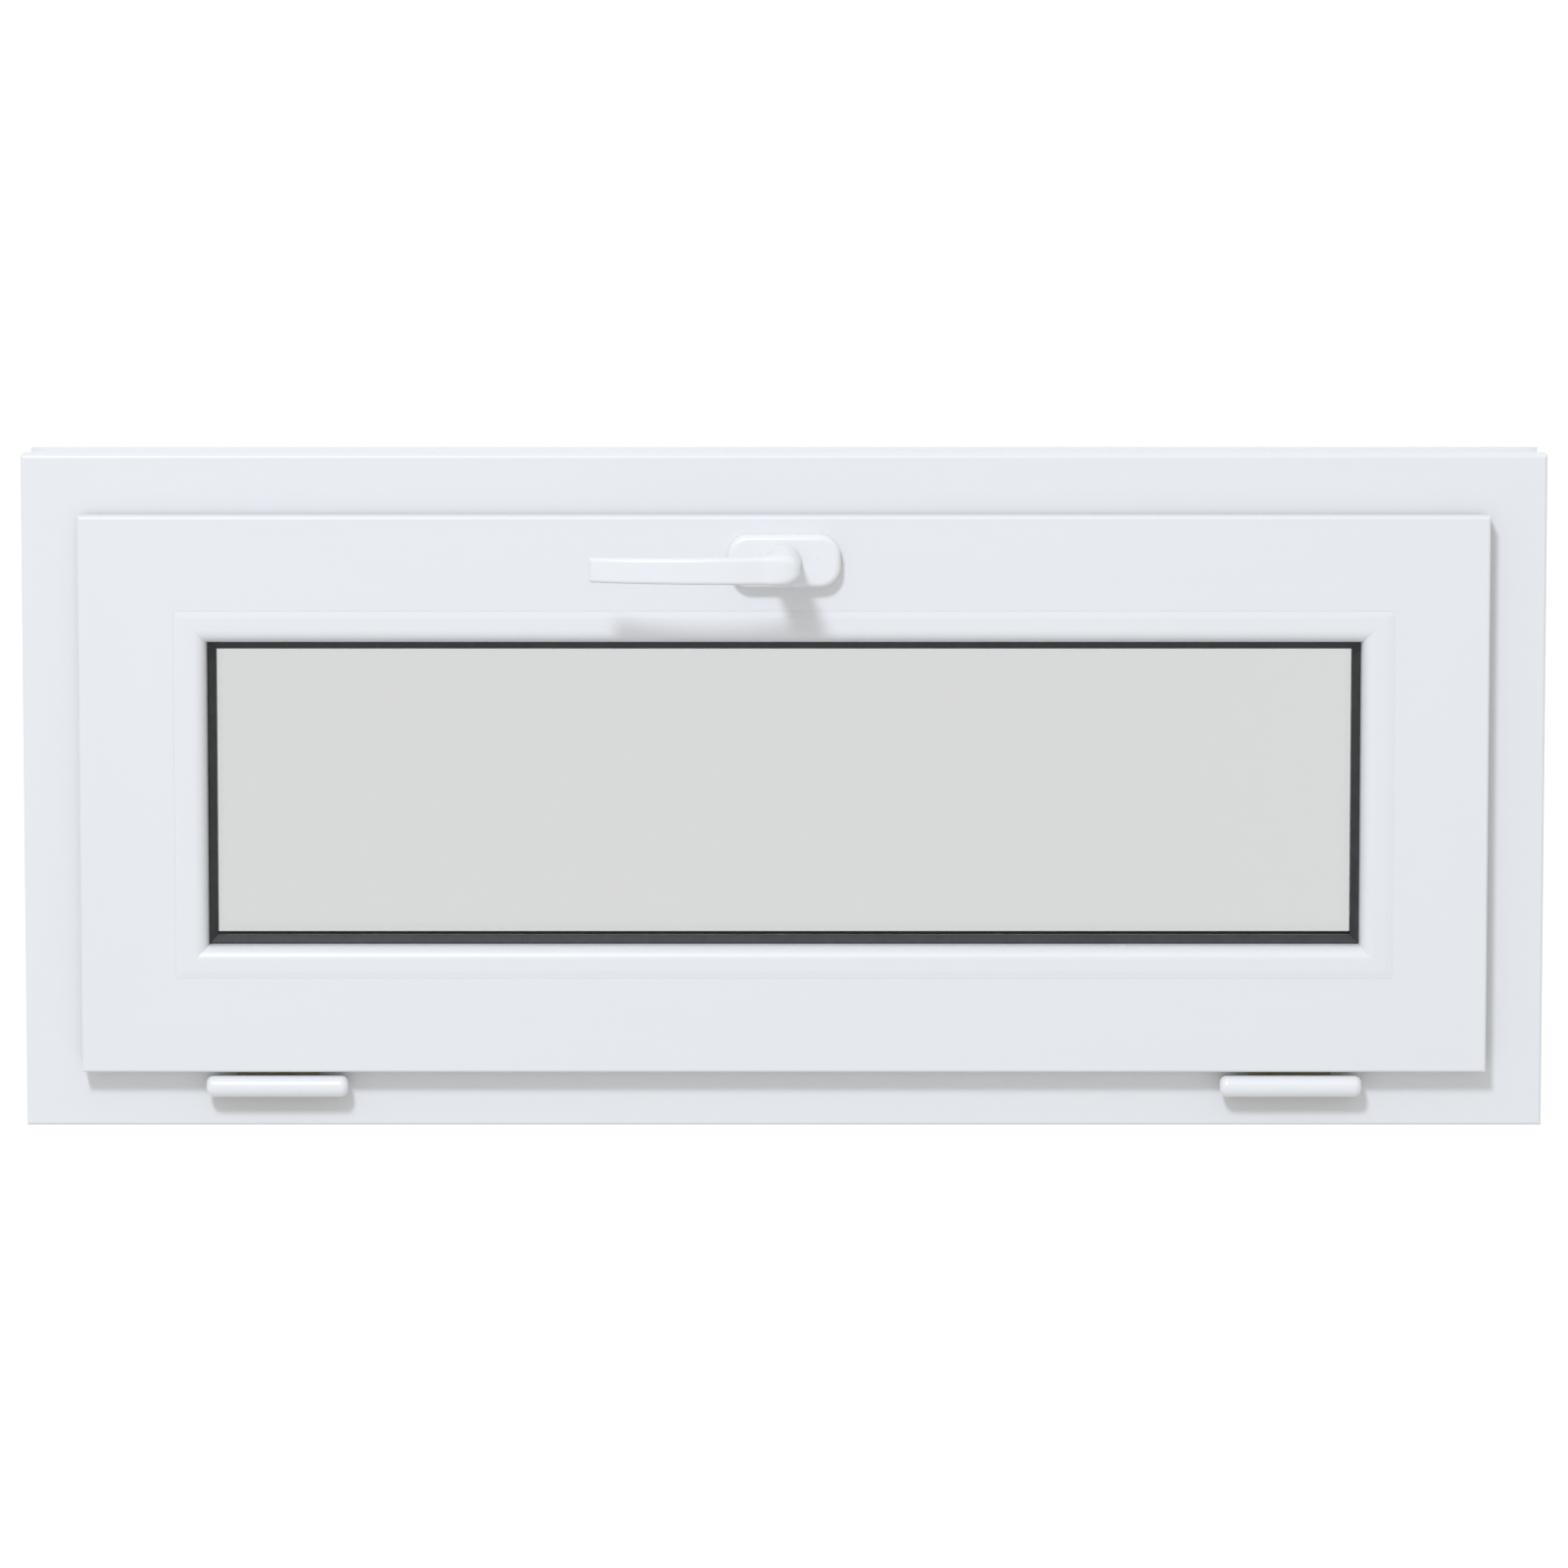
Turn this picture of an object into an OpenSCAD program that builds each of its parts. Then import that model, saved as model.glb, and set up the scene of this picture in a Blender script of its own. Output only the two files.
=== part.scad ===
// Bottom-hung plastic window that tilts into the room on two low hinges. A lever handle in the middle of
// the top rail turns a pinion, whose rack slides two locking rollers out of their keepers.
// X runs to the right, Y outdoors and Z up. The origin is the middle of the frame's lower room-side edge.

/* [Frame] */
// Width over the outer frame
frame_w = 900; // [800:10:1200]
// Height over the outer frame
frame_h = 400; // [400:10:600]
// Depth of the outer frame, room face to outdoor face
frame_d = 60; // [60:1:68]
// Width of the frame bar from its outer edge to its rebate
frame_bar = 41; // [41:0.5:42]
// Height of the outdoor stop above the rebate
stop_rise = 21; // [19:1:23]

/* [Sash] */
// Frame face left showing around the sash
reveal = 35; // [34.5:0.1:35.5]
// How far the sash face stands in front of the frame face
sash_proud = 18; // [17.5:0.1:18.5]
// Depth of the sash bars
sash_d = 60; // [60:0.5:61]
// Width of the sash lip that covers the frame
lip_w = 18; // [18:0.1:18.4]
// Width of the sash bar from its outer edge to the glass rebate
glaze_edge = 56; // [56:1:58]
// Width of the glazing beads
bead_w = 18.75; // [17:0.25:19]

/* [Glass] */
// Thickness of each pane
pane_t = 4; // [3:1:4]
// Thickness of the whole double glazing
glazing_t = 24; // [22:1:24]

/* [Hinges] */
// Distance of each hinge from the middle
hinge_x = 300; // [260:5:300]
// Height of the hinge axis above the bottom of the frame
hinge_z = 25.8; // [25.6:0.1:25.8]
// Distance of the hinge axis in front of the frame face
hinge_out = 12; // [12:0.1:12.4]
// Length of a hinge with its cap
hinge_len = 84; // [82:1:90]
// Diameter of a hinge cap
hinge_dia = 12.7; // [12.6:0.1:13]

/* [Stays] */
// Length of a stay arm between its pivots
stay_r = 118; // [112:1:120]
// Angle of the sash slot from vertical
slot_lean = 5.61; // [5.4:0.01:5.7]
// Angle between the slot and the line to the arm's frame pivot
pivot_lead = 4; // [4:0.1:4.4]
// Angle the sash tilts to when it is open
tilt_deg = 25; // [15:1:25]

/* [Handle and lock] */
// Drop of the handle axis below the top of the sash
handle_drop = 25.5; // [25.5:0.1:26]
// Length of the lever from its axis to its tip
lever_len = 113; // [100:1:130]
// Height of the lever
lever_h = 16; // [14:0.5:18]
// Thickness of the lever
lever_t = 12; // [10:0.5:13]
// Length of the rosette
rosette_l = 66.5; // [62:0.5:70]
// Height of the rosette
rosette_h = 31; // [28:0.5:32]
// Distance of each locking roller from the middle
lock_x = 250; // [200:5:260]

/* [Hidden] */

$fn = 48;
LEFT = -1;
RIGHT = 1;
// quarter turns that bring a bottom bar to each side of a ring
TO_BOTTOM = 0;
TO_RIGHT = -90;
TO_TOP = 180;
TO_LEFT = 90;

white = [0.91, 0.92, 0.93];
steel = [0.66, 0.68, 0.70];
zinc = [0.72, 0.69, 0.58];
black = [0.09, 0.09, 0.10];
glass = [0.80, 0.84, 0.84, 0.35];

slack = 0.35;        // gap between pieces that move past each other
run = 0.05;          // radial clearance of a turning fit
drill = 0.02;        // radial clearance of a screw in its hole
wall = 3;            // wall of the extruded bars

// sash ring and its levels, counted from the sash's outer edge and along Y
sash_w = frame_w - 2 * reveal;
sash_h = frame_h - 2 * reveal;
sash_face = -sash_proud;
sash_back = sash_face + sash_d;
lip_back = -3.5;
bead_edge = glaze_edge + bead_w;
leg_tip = 76;
leg_front = sash_back - 14;
glass_front = leg_front - 3 - glazing_t;
glass_back = leg_front - 3;
glass_edge = glaze_edge + 5;
bead_back = glass_front - 4;
stop_front = sash_back + 4;
stop_edge = frame_bar + stop_rise;

// outer perimeter channel that the wall fixings sit in
front_land = 20;
back_land = 4;
channel = 5;

// drain slots: two behind the rebate, two through the outdoor face
drain_w = 28;
drain_h = 5;
inner_drain_x = 180;
outer_drain_x = 250;

// steel cores, inside their chambers
frame_core = [8, 14.5, 36, 41];
sash_core = [30, -3, 52.5, leg_front];
core_gap = 0.5;
core_wall = 1.5;

// hardware groove around the sash
groove_y = 9.5;
groove_w = 12;
groove_deep = 9;
sash_top = reveal + sash_h;
edge_z = sash_top - lip_w;
rebate_top = frame_h - frame_bar;

// wall fixing holes
fix_r = 3.75;
fix_y = 28;
fix_step = 200;
head_fix_x = 200;
screw_r = 1.75;

// hinge knuckles, leaves and cap
hinge_y = -hinge_out;
pin_r = 2.5;
knuckle_r = 5;
sash_knuckle = 48.4;
cap_wall = 0.95;
cap_end = 3.2;
frame_knuckle = hinge_len / 2 - cap_end - 2 * slack - sash_knuckle / 2;
leaf_w = 49;
leaf_t = 2;
leaf_plate_w = hinge_len - 8;
leaf_plate_t = 2.5;
leaf_plate_low = hinge_z - 8;
leaf_plate_h = 10.2;

// stay geometry, seen along X, with the arm, slot and hinge axis as an isosceles triangle
stay_pivot = [hinge_y + stay_r * sin(slot_lean + pivot_lead), hinge_z + stay_r * cos(slot_lean + pivot_lead)];
slot_far = 2 * stay_r * cos(pivot_lead);
slot_near = 2 * stay_r * cos(pivot_lead + tilt_deg);
arm_lean = 2 * slot_lean - (slot_lean + pivot_lead);
arm_w = 13;
arm_t = 2.5;
stay_pin_r = 3;
bracket_h = 60;
bracket_w = 14;
bracket_t = 2;
guide_w = 14;
guide_t = 2.5;
guide_end = 17;
jamb_x = frame_w / 2 - frame_bar;
arm_x = jamb_x - 5;
edge_x = frame_w / 2 - reveal - lip_w;

// handle, pinion and rack
handle_z = sash_top - handle_drop;
spindle = 7;
shank_r = 8;
neck_r = 10.5;
rosette_t = 11;
bow_r = 221.5;
bow_x = -50;
bow_out = 72;
screw_x = 21.5;
module_mm = 1.25;
teeth = 16;
sector_teeth = 3;
pitch_r = module_mm * teeth / 2;
tooth_pitch = PI * module_mm;
tip = 1.1;
dip = 1.45;
travel = pitch_r * PI / 2;
hub_r = 6.4;
box_x = 36;
box_floor = handle_z - 21.5;
box_y = [3, 16];
box_wall = 1.3;
cover_t = 1.1;
rod_w = 9;
rod_t = 2.4;
rod_z = edge_z - 0.3 - rod_t;
upright = 4.5;
upright_left = -(pitch_r + tip + travel + 2);
upright_right = 13;
plate_t = 2;
plate_w = 16;
plate_x = 330;
roller_r = 3.75;
roller_top = edge_z + 8.3;
keeper_lip = 2.5;
keeper_drop = 6.5;
keeper_t = 2;
keeper_d = 14;
keeper_left_reach = 13;
keeper_right_reach = 11;

// rosette and its base plate
rosette_round = 13;
rosette_skin = 2;
plate_gap = 0.5;
base_t = 2.5;

// glazing bead: a low slope up from the sash face, a flat, then a round down to the glass
bead_front = sash_face - 0.6;
bead_slope = 4;
bead_round = 8;
bead_flat_edge = bead_edge - bead_round;
barb_deep = 2.6;
barb_y = [sash_face + 3.1, sash_face + 5.9];

// a 2D bar profile, x inward from the ring's edge and y along Y, run along one side of a ring
module along_side(turn, ring_w, ring_h, short = 0) {
    length = (turn == TO_BOTTOM || turn == TO_TOP) ? ring_w : ring_h;
    across = (turn == TO_BOTTOM || turn == TO_TOP) ? ring_h : ring_w;
    translate([0, 0, frame_h / 2])
    rotate([0, turn, 0])
    translate([0, 0, -across / 2])
    rotate([0, -90, 0])
    linear_extrude(length - 2 * short, center = true)
    children();
}

// the wedge that cuts a bar's ends to 45 degrees
module mitre(turn, ring_w, ring_h, deep) {
    length = (turn == TO_BOTTOM || turn == TO_TOP) ? ring_w : ring_h;
    across = (turn == TO_BOTTOM || turn == TO_TOP) ? ring_h : ring_w;
    translate([0, 0, frame_h / 2])
    rotate([0, turn, 0])
    rotate([90, 0, 0])
    linear_extrude(6 * frame_d, center = true)
    polygon([
        [-length / 2, -across / 2], [length / 2, -across / 2],
        [length / 2 - deep, deep - across / 2], [deep - length / 2, deep - across / 2]
    ]);
}

module mitred_bar(turn, ring_w, ring_h, deep) {
    intersection() {
        along_side(turn, ring_w, ring_h) children();
        mitre(turn, ring_w, ring_h, deep);
    }
}

// a closed ring between two distances from the edge of a rectangle
module flat_ring(ring_w, ring_h, from, to, y0, y1) {
    translate([0, y1, frame_h / 2])
    rotate([90, 0, 0])
    linear_extrude(y1 - y0)
    difference() {
        square([ring_w - 2 * from, ring_h - 2 * from], center = true);
        square([ring_w - 2 * to, ring_h - 2 * to], center = true);
    }
}

module pane(y0) {
    translate([0, y0 + pane_t / 2, frame_h / 2])
    cube([sash_w - 2 * glass_edge, pane_t, sash_h - 2 * glass_edge], center = true);
}

module rect(x0, y0, x1, y1) {
    translate([x0, y0]) square([x1 - x0, y1 - y0]);
}

module core_tube(core) {
    difference() {
        rect(core[0] + core_gap, core[1] + core_gap, core[2] - core_gap, core[3] - core_gap);
        rect(core[0] + core_gap + core_wall, core[1] + core_gap + core_wall,
             core[2] - core_gap - core_wall, core[3] - core_gap - core_wall);
    }
}

// a round bar along Y, X or Z from a start point
module bar_y(at, r, length) {
    translate(at) rotate([-90, 0, 0]) cylinder(r = r, h = length);
}

module bar_x(at, r, length) {
    translate(at) rotate([0, 90, 0]) cylinder(r = r, h = length);
}

module bar_z(at, r, length) {
    translate(at) cylinder(r = r, h = length);
}

// ---- outer frame ----

module frame_profile() {
    difference() {
        polygon([
            [0, 0], [frame_bar, 0], [frame_bar, stop_front], [stop_edge, stop_front],
            [stop_edge, frame_d - 4], [stop_edge - 4, frame_d], [0, frame_d],
            [0, frame_d - back_land], [channel, frame_d - back_land], [channel, front_land], [0, front_land]
        ]);
        rect(wall, wall, frame_bar - wall, 11.5);
        rect(frame_core[0], frame_core[1], frame_core[2], frame_core[3]);
        rect(channel + wall, stop_front + wall, stop_edge - wall, frame_d - wall);
    }
}

module jamb_fixing_holes(side) {
    for (z = [frame_h / 2 - fix_step / 2, frame_h / 2 + fix_step / 2])
        bar_x([side * frame_w / 2 - frame_bar - 1, fix_y, z], fix_r, 2 * frame_bar + 2);
}

module head_fixing_holes() {
    for (x = [-head_fix_x, head_fix_x])
        bar_z([x, fix_y, frame_h - frame_bar - 1], fix_r, frame_bar + 2);
}

// slots that let rain from the rebate into the outdoor chamber, and out of it
module drain_slots() {
    for (side = [LEFT, RIGHT]) {
        translate([side * inner_drain_x - drain_w / 2, stop_front - 1, frame_bar])
        cube([drain_w, wall + 2, drain_h]);
        translate([side * outer_drain_x - drain_w / 2, frame_d - wall - 1, channel + wall + 1])
        cube([drain_w, wall + 2, drain_h]);
    }
}

module frame_sill() {
    color(white)
    difference() {
        mitred_bar(TO_BOTTOM, frame_w, frame_h, stop_edge) frame_profile();
        drain_slots();
        hinge_frame_screw_set(drill);
    }
}

module frame_head() {
    color(white)
    difference() {
        mitred_bar(TO_TOP, frame_w, frame_h, stop_edge) frame_profile();
        head_fixing_holes();
        keeper_screw_set(drill);
    }
}

module frame_jamb(side) {
    difference() {
        mitred_bar(side == LEFT ? TO_LEFT : TO_RIGHT, frame_w, frame_h, stop_edge) frame_profile();
        jamb_fixing_holes(side);
        bracket_screw_set(drill);
    }
}

module frame_jamb_left() {
    color(white) frame_jamb(LEFT);
}

module frame_jamb_right() {
    color(white) frame_jamb(RIGHT);
}

module frame_steels() {
    color(steel)
    difference() {
        for (turn = [TO_BOTTOM, TO_RIGHT, TO_TOP, TO_LEFT])
            along_side(turn, frame_w, frame_h, frame_core[2] + 8) core_tube(frame_core);
        jamb_fixing_holes(LEFT);
        jamb_fixing_holes(RIGHT);
        head_fixing_holes();
        hinge_frame_screw_set(drill);
        keeper_screw_set(drill);
        bracket_screw_set(drill);
    }
}

module frame_gasket() {
    color(black)
    flat_ring(frame_w, frame_h, stop_edge - 7, stop_edge - 1, sash_back + slack, stop_front);
}

// hoods over the outdoor drain slots, open behind and below
module drain_caps() {
    cap_w = drain_w + 16;
    cap_h = 13;
    cap_d = 5;
    rim = 3;
    front = 1.5;
    color(white)
    for (side = [LEFT, RIGHT])
        translate([side * outer_drain_x - cap_w / 2, frame_d, channel])
        difference() {
            cube([cap_w, cap_d, cap_h]);
            translate([rim, -1, -1]) cube([cap_w - 2 * rim, cap_d - front + 1, cap_h - rim + 1]);
        }
}

// ---- keepers on the frame head ----

module keeper_screw_set(extra) {
    for (side = [LEFT, RIGHT], dx = [-8, 5])
        bar_z([side * lock_x + dx, groove_y + 4, rebate_top - keeper_t], screw_r + extra, 14);
}

// a plate in the rebate with a lip that hangs down in front of the roller
module keeper(side) {
    lip_front = groove_y - roller_r - slack - keeper_lip;
    difference() {
        union() {
            translate([side * lock_x - keeper_left_reach, lip_front, rebate_top - keeper_t])
            cube([keeper_left_reach + keeper_right_reach, keeper_d, keeper_t]);
            translate([side * lock_x - keeper_left_reach, lip_front, rebate_top - keeper_drop])
            cube([keeper_left_reach + keeper_right_reach - 2, keeper_lip, keeper_drop]);
        }
        keeper_screw_set(drill);
    }
}

module keeper_left() {
    color(steel) keeper(LEFT);
}

module keeper_right() {
    color(steel) keeper(RIGHT);
}

module keeper_screws() {
    color(zinc) keeper_screw_set(0);
}

// ---- hinges ----

module hinge_frame_screw_set(extra) {
    for (side = [LEFT, RIGHT], dx = [-34, -22, 22, 34])
        bar_y([side * hinge_x + dx, -leaf_plate_t, hinge_z - 3], screw_r + extra, 20);
}

// a plate on the frame face with an arm and a knuckle at each end
module hinge_frame_leaf(side) {
    knuckle_x = sash_knuckle / 2 + slack + frame_knuckle / 2;
    arm = 3;
    translate([side * hinge_x, 0, 0])
    difference() {
        union() {
            translate([-leaf_plate_w / 2, -leaf_plate_t, leaf_plate_low])
            cube([leaf_plate_w, leaf_plate_t, leaf_plate_h]);
            for (end = [LEFT, RIGHT])
                translate([end * knuckle_x - frame_knuckle / 2, hinge_y, 0]) {
                    bar_x([0, 0, hinge_z], knuckle_r, frame_knuckle);
                    translate([0, 0, hinge_z - knuckle_r + 1]) cube([frame_knuckle, hinge_out - 2, arm]);
                }
        }
        bar_x([-hinge_len / 2, hinge_y, hinge_z], pin_r + drill, hinge_len);
        translate([-side * hinge_x, 0, 0]) hinge_frame_screw_set(drill);
    }
}

module hinge_frame_leaf_left() {
    color(zinc) hinge_frame_leaf(LEFT);
}

module hinge_frame_leaf_right() {
    color(zinc) hinge_frame_leaf(RIGHT);
}

module hinge_frame_screws() {
    color(zinc) hinge_frame_screw_set(0);
}

module hinge_pin(side) {
    length = sash_knuckle + 2 * slack + 2 * frame_knuckle;
    bar_x([side * hinge_x - length / 2, hinge_y, hinge_z], pin_r, length);
}

module hinge_pin_left() {
    color(steel) hinge_pin(LEFT);
}

module hinge_pin_right() {
    color(steel) hinge_pin(RIGHT);
}

module hinge_sash_screw_set(extra) {
    for (side = [LEFT, RIGHT], dx = [-14, 14])
        bar_z([side * hinge_x + dx, 21, reveal + lip_w - leaf_t], screw_r + extra, leaf_t + 10);
}

// a cranked leaf: from its knuckle back behind the sash lip, up, and back again under the sash bar
module hinge_sash_leaf(side) {
    plate_back = 26;
    upright_y = lip_back + 0.1;
    translate([side * hinge_x, 0, 0])
    difference() {
        union() {
            bar_x([-sash_knuckle / 2, hinge_y, hinge_z], knuckle_r, sash_knuckle);
            translate([-sash_knuckle / 2, hinge_y, hinge_z + knuckle_r - leaf_t])
            cube([sash_knuckle, upright_y + leaf_t - hinge_y, leaf_t]);
            translate([-sash_knuckle / 2, upright_y, hinge_z + knuckle_r - leaf_t])
            cube([sash_knuckle, leaf_t, reveal + lip_w - hinge_z - knuckle_r + leaf_t]);
            translate([-sash_knuckle / 2, upright_y, reveal + lip_w - leaf_t])
            cube([sash_knuckle, plate_back - upright_y, leaf_t]);
        }
        bar_x([-hinge_len / 2, hinge_y, hinge_z], pin_r + run, hinge_len);
        translate([-side * hinge_x, 0, 0]) hinge_sash_screw_set(drill);
    }
}

module hinge_sash_leaf_left() {
    color(zinc) hinge_sash_leaf(LEFT);
}

module hinge_sash_leaf_right() {
    color(zinc) hinge_sash_leaf(RIGHT);
}

module hinge_sash_screws() {
    color(zinc) hinge_sash_screw_set(0);
}

// a shell around the knuckles, open at the back below for the frame leaf and slotted above for the sash leaf
module hinge_cap(side) {
    cap_r = hinge_dia / 2;
    round = 4;
    inner = hinge_len - 2 * cap_end;
    slot_y = cap_r / 2;
    translate([side * hinge_x, hinge_y, hinge_z])
    difference() {
        rotate([0, 90, 0])
        rotate_extrude()
        union() {
            rect(0, -hinge_len / 2, cap_r - round, hinge_len / 2);
            rect(0, -hinge_len / 2 + round, cap_r, hinge_len / 2 - round);
            for (end = [LEFT, RIGHT])
                intersection() {
                    translate([cap_r - round, end * (hinge_len / 2 - round)]) circle(r = round);
                    rect(0, -hinge_len / 2, cap_r, hinge_len / 2);
                }
        }
        bar_x([-inner / 2, 0, 0], cap_r - cap_wall, inner);
        translate([-inner / 2, -0.3, -hinge_dia]) cube([inner, hinge_dia, hinge_dia - 0.3]);
        translate([-leaf_w / 2, 0, knuckle_r - leaf_t - 0.2]) cube([leaf_w, hinge_dia, leaf_t + 0.6]);
        translate([-leaf_w / 2, slot_y, 0]) cube([leaf_w, hinge_dia, hinge_dia]);
    }
}

module hinge_cap_left() {
    color(white) hinge_cap(LEFT);
}

module hinge_cap_right() {
    color(white) hinge_cap(RIGHT);
}

// ---- stays ----

// moves a part drawn for the right jamb to the side asked for
module on_side(side) {
    mirror([side == LEFT ? 1 : 0, 0, 0]) children();
}

module bracket_screw_set(extra) {
    for (side = [LEFT, RIGHT])
        on_side(side)
        for (end = [-1, 1])
            bar_x([jamb_x - bracket_t, stay_pivot[0], stay_pivot[1] + end * (bracket_h / 2 - 8)],
                  screw_r + extra, 12);
}

module stay_bracket(side) {
    difference() {
        on_side(side)
        union() {
            translate([jamb_x - bracket_t, stay_pivot[0] - bracket_w / 2, stay_pivot[1] - bracket_h / 2])
            cube([bracket_t, bracket_w, bracket_h]);
            bar_x([arm_x - 1.6, stay_pivot[0], stay_pivot[1]], stay_pin_r, jamb_x - arm_x);
            bar_x([arm_x - 1.6, stay_pivot[0], stay_pivot[1]], stay_pin_r + 2, 1.2);
        }
        bracket_screw_set(drill);
    }
}

module stay_bracket_left() {
    color(steel) stay_bracket(LEFT);
}

module stay_bracket_right() {
    color(steel) stay_bracket(RIGHT);
}

module stay_bracket_screws() {
    color(zinc) bracket_screw_set(0);
}

// an arm with a hole at its frame pivot and a headed pin at its sash end
module stay_arm(side) {
    on_side(side)
    translate([arm_x, stay_pivot[0], stay_pivot[1]])
    rotate([-arm_lean, 0, 0])
    difference() {
        union() {
            bar_x([0, 0, 0], arm_w / 2, arm_t);
            bar_x([0, 0, stay_r], arm_w / 2, arm_t);
            translate([0, -arm_w / 2, 0]) cube([arm_t, arm_w, stay_r]);
            bar_x([-9.5, 0, stay_r], stay_pin_r, 10);
            bar_x([-9.9, 0, stay_r], stay_pin_r + 1.2, 2);
        }
        bar_x([-1, 0, 0], stay_pin_r + run, arm_t + 2);
    }
}

module stay_arm_left() {
    color(steel) stay_arm(LEFT);
}

module stay_arm_right() {
    color(steel) stay_arm(RIGHT);
}

module guide_screw_set(extra) {
    for (side = [LEFT, RIGHT])
        on_side(side)
        for (along = [slot_near - guide_end + 6, slot_far + guide_end - 6])
            translate([0, hinge_y, hinge_z])
            rotate([-slot_lean, 0, 0])
            bar_x([edge_x - 20, 0, along], screw_r + extra, 20 + guide_t);
}

// a slotted plate on the sash edge, leaning so that its slot points at the hinge axis
module stay_guide(side) {
    slot_half = stay_pin_r + slack;
    difference() {
        on_side(side)
        translate([edge_x, hinge_y, hinge_z])
        rotate([-slot_lean, 0, 0])
        difference() {
            translate([0, -guide_w / 2, slot_near - guide_end])
            cube([guide_t, guide_w, slot_far - slot_near + 2 * guide_end]);
            bar_x([-1, 0, slot_near], slot_half, guide_t + 2);
            bar_x([-1, 0, slot_far], slot_half, guide_t + 2);
            translate([-1, -slot_half, slot_near]) cube([guide_t + 2, 2 * slot_half, slot_far - slot_near]);
        }
        guide_screw_set(drill);
    }
}

module stay_guide_left() {
    color(steel) stay_guide(LEFT);
}

module stay_guide_right() {
    color(steel) stay_guide(RIGHT);
}

module stay_guide_screws() {
    color(zinc) guide_screw_set(0);
}

// ---- sash ----

module sash_profile() {
    difference() {
        polygon([
            [0, sash_face], [glaze_edge, sash_face], [glaze_edge, sash_face + 2.8],
            [glaze_edge - 3, sash_face + 2.8], [glaze_edge - 3, sash_face + 6.2],
            [glaze_edge, sash_face + 6.2], [glaze_edge, leg_front], [leg_tip, leg_front],
            [leg_tip, sash_back - 4], [leg_tip - 4, sash_back], [lip_w, sash_back],
            [lip_w, groove_y + groove_w / 2], [lip_w + groove_deep, groove_y + groove_w / 2],
            [lip_w + groove_deep, groove_y - groove_w / 2], [lip_w, groove_y - groove_w / 2],
            [lip_w, lip_back], [0, lip_back]
        ]);
        rect(wall, sash_face + wall, glaze_edge - 6, lip_back - wall);
        rect(sash_core[0], sash_core[1], sash_core[2], sash_core[3]);
        rect(lip_w + wall, leg_front + wall, leg_tip - wall - 1, sash_back - wall);
    }
}

module gearbox_pocket() {
    translate([-box_x - 0.2, box_y[0] - 0.2, box_floor - 0.2])
    cube([2 * box_x + 0.4, box_y[1] - box_y[0] + cover_t + 0.4, edge_z - box_floor + 1]);
}

module sash_bottom_rail() {
    color(white)
    difference() {
        mitred_bar(TO_BOTTOM, sash_w, sash_h, leg_tip) sash_profile();
        hinge_sash_screw_set(drill);
    }
}

module sash_top_rail() {
    color(white)
    difference() {
        mitred_bar(TO_TOP, sash_w, sash_h, leg_tip) sash_profile();
        gearbox_pocket();
        bar_y([0, sash_face - 1, handle_z], shank_r + 1, box_y[0] - sash_face + 2);
        handle_screw_set(drill);
        faceplate_screw_set(drill);
    }
}

module sash_stile_left() {
    color(white)
    difference() {
        mitred_bar(TO_LEFT, sash_w, sash_h, leg_tip) sash_profile();
        guide_screw_set(drill);
    }
}

module sash_stile_right() {
    color(white)
    difference() {
        mitred_bar(TO_RIGHT, sash_w, sash_h, leg_tip) sash_profile();
        guide_screw_set(drill);
    }
}

module sash_steels() {
    color(steel)
    difference() {
        for (turn = [TO_BOTTOM, TO_RIGHT, TO_TOP, TO_LEFT])
            along_side(turn, sash_w, sash_h, sash_core[2] + 4) core_tube(sash_core);
        translate([-box_x - 8, sash_core[1] - 1, frame_h / 2]) cube([2 * box_x + 16, sash_d, frame_h]);
        guide_screw_set(drill);
        faceplate_screw_set(drill);
    }
}

// a lip seal, notched where a hinge leaf passes behind the lip
module sash_gasket() {
    color(black)
    difference() {
        flat_ring(sash_w, sash_h, 2, 8, lip_back, -slack);
        for (side = [LEFT, RIGHT])
            translate([side * hinge_x - leaf_w / 2 - 0.5, lip_back - 1, reveal]) cube([leaf_w + 1, 6, lip_w]);
    }
}

// ---- glazing ----

module bead_profile() {
    rect(glaze_edge, sash_face, bead_flat_edge, bead_back);
    polygon([
        [glaze_edge, sash_face], [glaze_edge + bead_slope, bead_front], [bead_flat_edge, bead_front],
        [bead_flat_edge, sash_face]
    ]);
    rect(bead_flat_edge, bead_front + bead_round, bead_edge, bead_back);
    intersection() {
        translate([bead_flat_edge, bead_front + bead_round]) circle(r = bead_round);
        rect(bead_flat_edge, bead_front, bead_edge, bead_front + bead_round);
    }
    rect(glaze_edge - barb_deep, barb_y[0], glaze_edge, barb_y[1]);
}

module bead(turn) {
    mitred_bar(turn, sash_w, sash_h, bead_edge + 1) bead_profile();
}

module bead_bottom() {
    color(white) bead(TO_BOTTOM);
}

module bead_top() {
    color(white) bead(TO_TOP);
}

module bead_left() {
    color(white) bead(TO_LEFT);
}

module bead_right() {
    color(white) bead(TO_RIGHT);
}

module glass_gasket_inner() {
    color(black) flat_ring(sash_w, sash_h, glass_edge + 5, bead_edge + 5, bead_back, glass_front);
}

module glass_gasket_outer() {
    color(black) flat_ring(sash_w, sash_h, glass_edge + 5, leg_tip + 2, glass_back, leg_front);
}

module pane_inner() {
    color(glass) pane(glass_front);
}

module pane_outer() {
    color(glass) pane(glass_back - pane_t);
}

module glass_spacer() {
    color(steel)
    flat_ring(sash_w, sash_h, glass_edge + 5, glass_edge + 12, glass_front + pane_t, glass_back - pane_t);
}

module glass_edge_seal() {
    color(black)
    flat_ring(sash_w, sash_h, glass_edge + 0.5, glass_edge + 5, glass_front + pane_t, glass_back - pane_t);
}

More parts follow.
